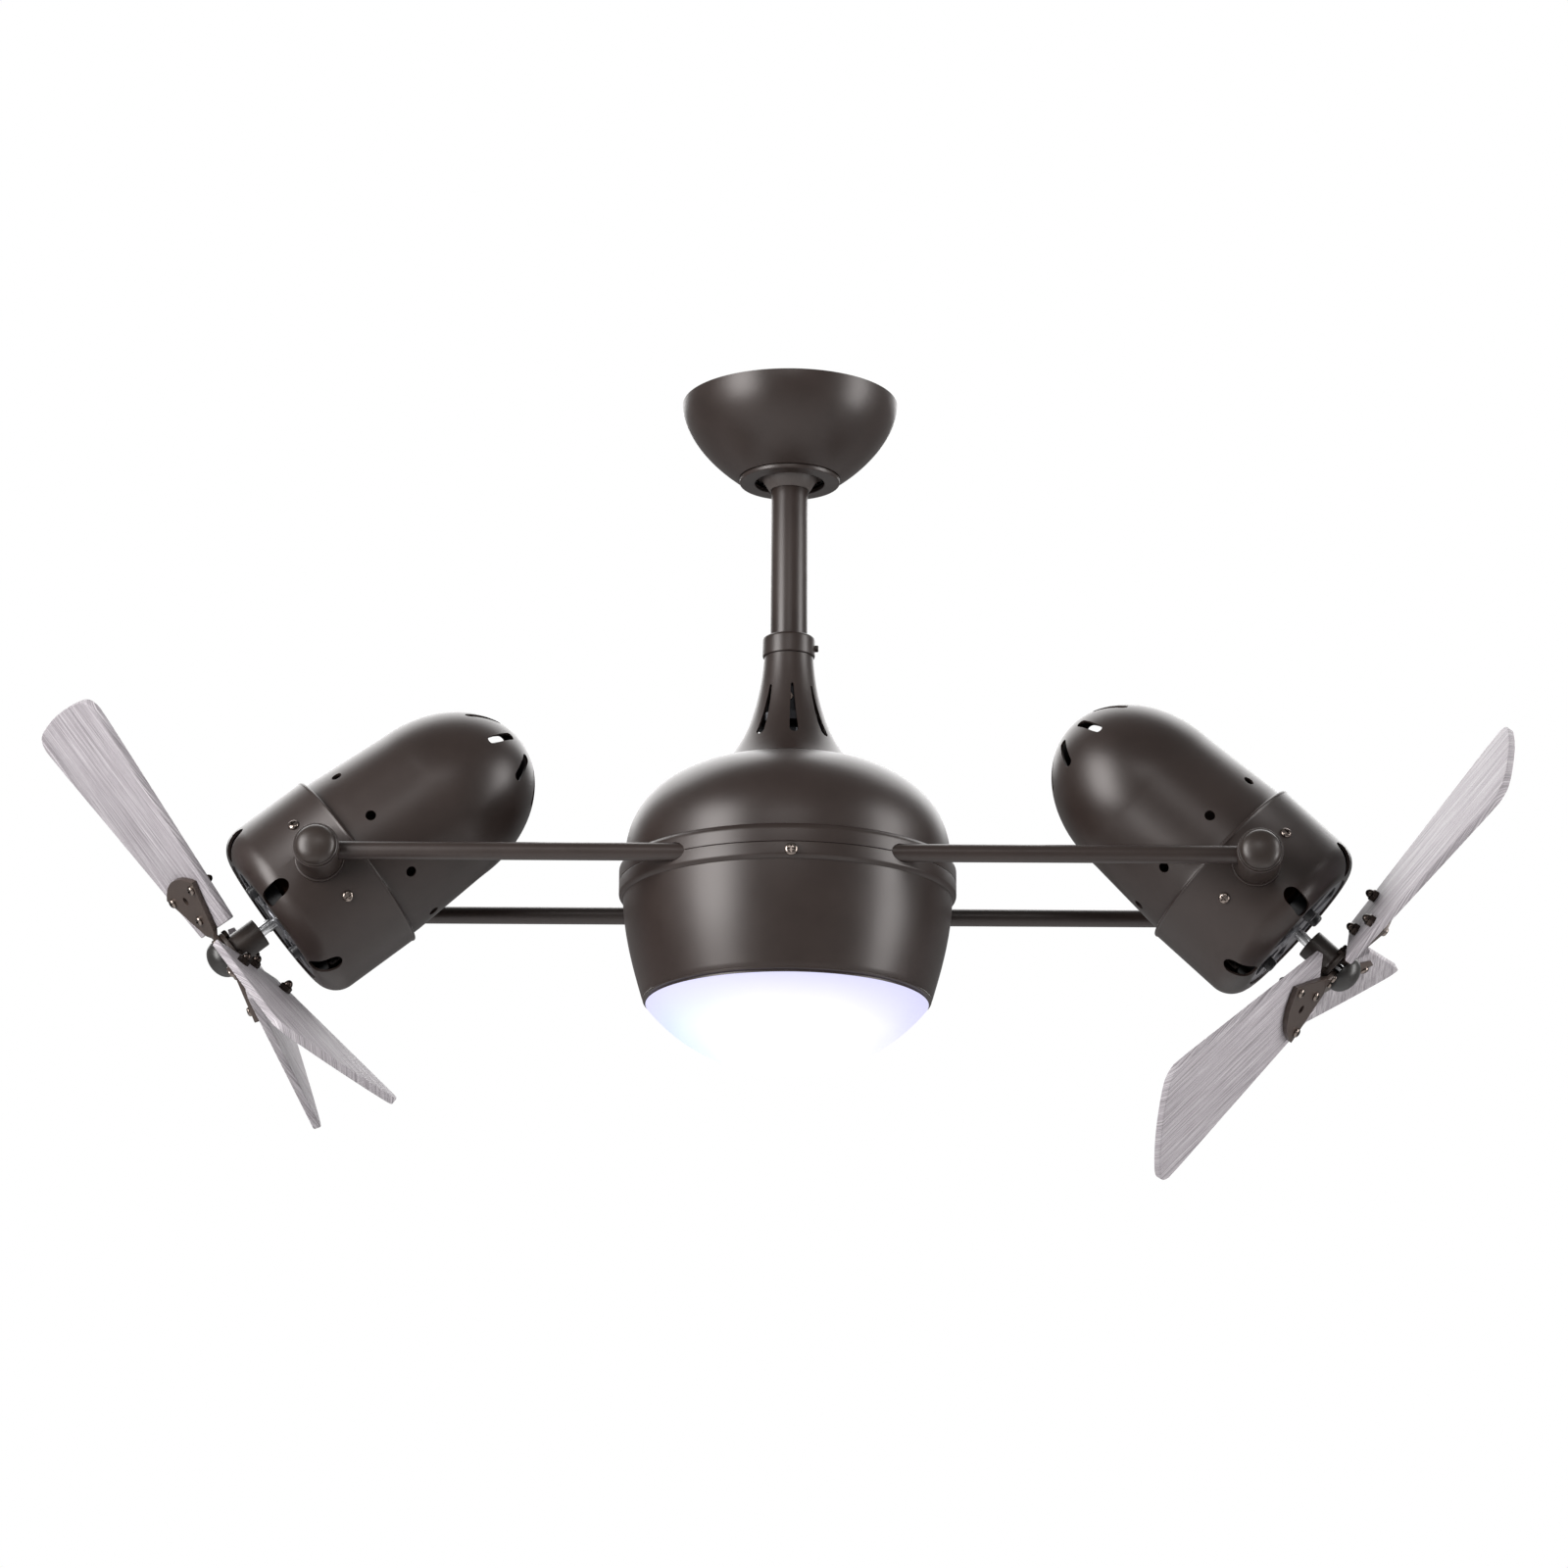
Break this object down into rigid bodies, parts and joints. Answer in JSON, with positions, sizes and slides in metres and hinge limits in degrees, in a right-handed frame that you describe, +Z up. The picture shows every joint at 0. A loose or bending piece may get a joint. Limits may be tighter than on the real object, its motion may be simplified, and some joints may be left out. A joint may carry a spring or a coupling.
{
  "type": "twin head ceiling fan",
  "caption": "Ball-hung downrod with a turning domed light housing whose twin arms carry tilting bullet-shaped motor heads with pitched wooden blades.",
  "frame": {"origin": "middle of the ceiling bracket's top face, where it meets the ceiling box", "axes": "+X along the arms towards the right head, +Y away from the viewer, +Z up into the ceiling"},
  "size_m": [1.0503, 0.3901, 0.587],
  "materials": {
    "bronze_paint": "satin dark bronze paint",
    "dark_bronze": "satin darker bronze paint",
    "zinc_plate": "zinc plated",
    "steel": "bright turned steel",
    "cast_aluminium": "cast and machined",
    "slip_ring_brass": "bright bands",
    "laminations": "varnished steel stack with copper windings",
    "dark_moulding": "matt black moulding",
    "spinner_grey": "satin green-grey paint",
    "white_paint": "white reflector paint",
    "circuit_board": "white solder mask on aluminium",
    "opal_glass": "opal white, satin",
    "washed_wood": "pale grey wash with fine lengthwise grain"
  },
  "bodies": {
    "ceiling_mount": {"hanger_bracket": "zinc_plate", "canopy": "bronze_paint", "canopy_ring": "bronze_paint"},
    "hanger": {"hanger_ball": "dark_moulding", "hanger_pin": "steel", "downrod": "bronze_paint", "downrod_collar": "bronze_paint", "neck_cover": "bronze_paint", "yoke": "zinc_plate", "yoke_pin": "steel", "spindle": "steel", "slip_ring": "slip_ring_brass"},
    "carrier": {"upper_bearing": "steel", "lower_bearing": "steel", "carrier_hub": "cast_aluminium", "front_arm": "bronze_paint", "rear_arm": "bronze_paint", "upper_shell": "bronze_paint", "lower_shell": "bronze_paint", "light_pan": "white_paint", "led_board": "circuit_board", "led_driver": "white_paint", "glass_bowl": "opal_glass", "brush_block": "dark_moulding", "left_front_knuckle": "bronze_paint", "left_rear_knuckle": "bronze_paint", "right_front_knuckle": "bronze_paint", "right_rear_knuckle": "bronze_paint", "left_front_pivot_bolt": "dark_bronze", "left_rear_pivot_bolt": "dark_bronze", "right_front_pivot_bolt": "dark_bronze", "right_rear_pivot_bolt": "dark_bronze"},
    "left_head": {"left_front_cover": "bronze_paint", "left_rear_shell": "bronze_paint", "left_motor_end_plate": "cast_aluminium", "left_motor_rear_bell": "cast_aluminium", "left_stator": "laminations"},
    "left_rotor": {"left_motor_shaft": "steel", "left_blade_hub": "dark_bronze", "left_spinner": "spinner_grey", "left_blade_iron_1": "dark_bronze", "left_blade_iron_2": "dark_bronze", "left_blade_iron_3": "dark_bronze", "left_blade_1": "washed_wood", "left_blade_2": "washed_wood", "left_blade_3": "washed_wood"},
    "right_head": {"right_front_cover": "bronze_paint", "right_rear_shell": "bronze_paint", "right_motor_end_plate": "cast_aluminium", "right_motor_rear_bell": "cast_aluminium", "right_stator": "laminations"},
    "right_rotor": {"right_motor_shaft": "steel", "right_blade_hub": "dark_bronze", "right_spinner": "spinner_grey", "right_blade_iron_1": "dark_bronze", "right_blade_iron_2": "dark_bronze", "right_blade_iron_3": "dark_bronze", "right_blade_1": "washed_wood", "right_blade_2": "washed_wood", "right_blade_3": "washed_wood"}
  },
  "joints": [
    {"name": "hanger_swing", "type": "hinge", "parent": "ceiling_mount", "child": "hanger", "pos_m": [0, 0, -0.041], "axis": [0, 1, 0], "range_deg": [-15, 15]},
    {"name": "carrier_turn", "type": "hinge", "parent": "hanger", "child": "carrier", "pos_m": [0, 0, -0.366], "axis": [0, 0, 1], "continuous": true},
    {"name": "left_head_tilt", "type": "hinge", "parent": "carrier", "child": "left_head", "pos_m": [-0.33, 0, -0.366], "axis": [0, 1, 0], "range_deg": [-52.2, 127.8]},
    {"name": "left_rotor_spin", "type": "hinge", "parent": "left_head", "child": "left_rotor", "pos_m": [-0.33, 0, -0.366], "axis": [-0.7902, 0, -0.6129], "continuous": true},
    {"name": "right_head_tilt", "type": "hinge", "parent": "carrier", "child": "right_head", "pos_m": [0.33, 0, -0.366], "axis": [0, -1, 0], "range_deg": [-46.8, 133.2]},
    {"name": "right_rotor_spin", "type": "hinge", "parent": "right_head", "child": "right_rotor", "pos_m": [0.33, 0, -0.366], "axis": [0.729, 0, -0.6845], "continuous": true}
  ]
}
